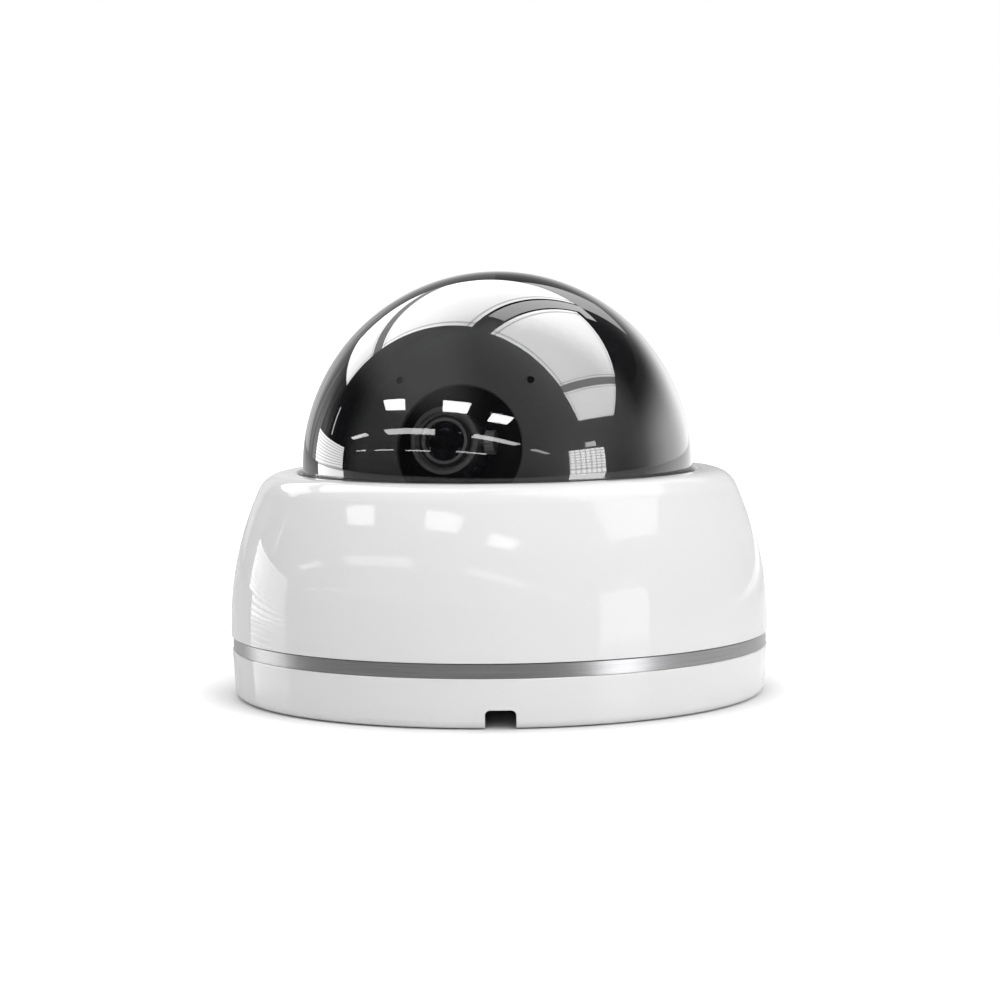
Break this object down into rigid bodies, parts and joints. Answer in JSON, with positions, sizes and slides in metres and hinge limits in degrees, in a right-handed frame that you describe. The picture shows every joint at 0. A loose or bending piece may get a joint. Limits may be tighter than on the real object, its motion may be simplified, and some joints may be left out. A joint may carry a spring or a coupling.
{
  "type": "dome security camera",
  "caption": "Round dome camera with a smoked half-ball bubble in a lift-off white cover, over a lens module that pans, tilts, rotates and focuses inside a dark liner.",
  "frame": {"origin": "centre of the mounting face, on the pan axis", "axes": "+Z out of the mounting face through the top of the bubble, -Y towards the side cable notch, +X to the right of someone who looks at the notch"},
  "size_m": [0.1304, 0.1304, 0.1016],
  "materials": {
    "shell_white": "high gloss",
    "trim_silver": "fine brushed silver",
    "foam_black": "matte foam",
    "rubber_black": "matte",
    "spring_steel": "satin",
    "screw_steel": "satin",
    "bearing_black": "fine matte",
    "washer_nylon": "matte",
    "board_green": "solder mask",
    "header_cream": "matte",
    "capacitor_can": "satin",
    "chip_black": "matte",
    "button_black": "matte",
    "bubble_smoke": "clear smoked, polished",
    "clamp_black": "fine matte",
    "yoke_steel": "satin",
    "bush_nylon": "matte",
    "cradle_black": "fine matte",
    "pin_steel": "satin",
    "liner_grey": "smooth satin",
    "module_black": "fine matte",
    "sensor_die": "glazed",
    "filter_glass": "coated",
    "ring_grey": "anodised satin",
    "thumb_steel": "knurled satin",
    "barrel_black": "anodised satin",
    "lens_glass": "coated"
  },
  "bodies": {
    "housing": {"base_housing": "shell_white", "mounting_gasket": "foam_black", "trim_ring": "trim_silver", "cable_grommet": "rubber_black", "cover_clips": "spring_steel", "pan_base": "bearing_black", "pan_base_screws": "screw_steel", "friction_washer": "washer_nylon", "main_board": "board_green", "board_screws": "screw_steel", "board_headers": "header_cream", "board_capacitors": "capacitor_can", "board_chips": "chip_black", "reset_switch": "chip_black"},
    "reset": {"reset_button": "button_black"},
    "cover": {"cover_shell": "shell_white", "dome_bubble": "bubble_smoke", "dome_seal": "rubber_black", "clamp_ring": "clamp_black", "clamp_screws": "screw_steel"},
    "pan": {"turntable": "bearing_black", "pan_retainer": "spring_steel", "yoke": "yoke_steel", "yoke_screws": "screw_steel", "tilt_bushes": "bush_nylon"},
    "tilt": {"cradle": "cradle_black", "tilt_pins": "pin_steel", "inner_liner": "liner_grey", "liner_screws": "screw_steel"},
    "module": {"module_holder": "module_black", "holder_retainer": "module_black", "lens_shroud": "module_black", "sensor_board": "board_green", "signal_board": "board_green", "board_spacers": "pin_steel", "module_screws": "screw_steel", "module_header": "header_cream", "image_sensor": "sensor_die", "lens_mount": "module_black", "ir_filter": "filter_glass"},
    "focus": {"focus_ring": "ring_grey"},
    "lock": {"lock_screw": "thumb_steel"},
    "barrel": {"lens_barrel": "barrel_black", "lens_retainer": "barrel_black", "front_element": "lens_glass", "middle_element": "lens_glass", "rear_element": "lens_glass"}
  },
  "joints": [
    {"name": "cover_lift", "type": "slide", "parent": "housing", "child": "cover", "axis": [0, 0, 1], "range_m": [0, 0.11]},
    {"name": "pan_turn", "type": "hinge", "parent": "housing", "child": "pan", "pos_m": [0, 0, 0.012], "axis": [0, 0, 1], "range_deg": [-162.5, 187.5]},
    {"name": "tilt_turn", "type": "hinge", "parent": "pan", "child": "tilt", "pos_m": [0, 0, 0.0543], "axis": [-0.9763, 0.2164, 0], "range_deg": [-9.5, 65.5]},
    {"name": "module_turn", "type": "hinge", "parent": "tilt", "child": "module", "pos_m": [0, 0, 0.0543], "axis": [-0.2135, -0.9629, 0.165], "range_deg": [-175, 175]},
    {"name": "focus_turn", "type": "hinge", "parent": "module", "child": "focus", "pos_m": [-0.0111, -0.02744, 0.06162], "axis": [-0.2135, -0.9629, 0.165], "range_deg": [-60, 60]},
    {"name": "focus_travel", "type": "slide", "parent": "module", "child": "barrel", "axis": [-0.2135, -0.9629, 0.165], "range_m": [-0.0005, 0.0005]},
    {"name": "lock_turn", "type": "hinge", "parent": "focus", "child": "lock", "pos_m": [-0.00217, -0.03104, 0.06188], "axis": [0.9763, -0.2164, 0], "range_deg": [0, 180]},
    {"name": "reset_press", "type": "slide", "parent": "housing", "child": "reset", "axis": [0, 0, -1], "range_m": [0, 0.0005], "stiffness_N_per_m": 2500, "springref_m": -0.0002}
  ],
  "couplings": [
    {"joint": "focus_turn", "follows": "focus_travel", "rad_per_m": 2094.4}
  ]
}
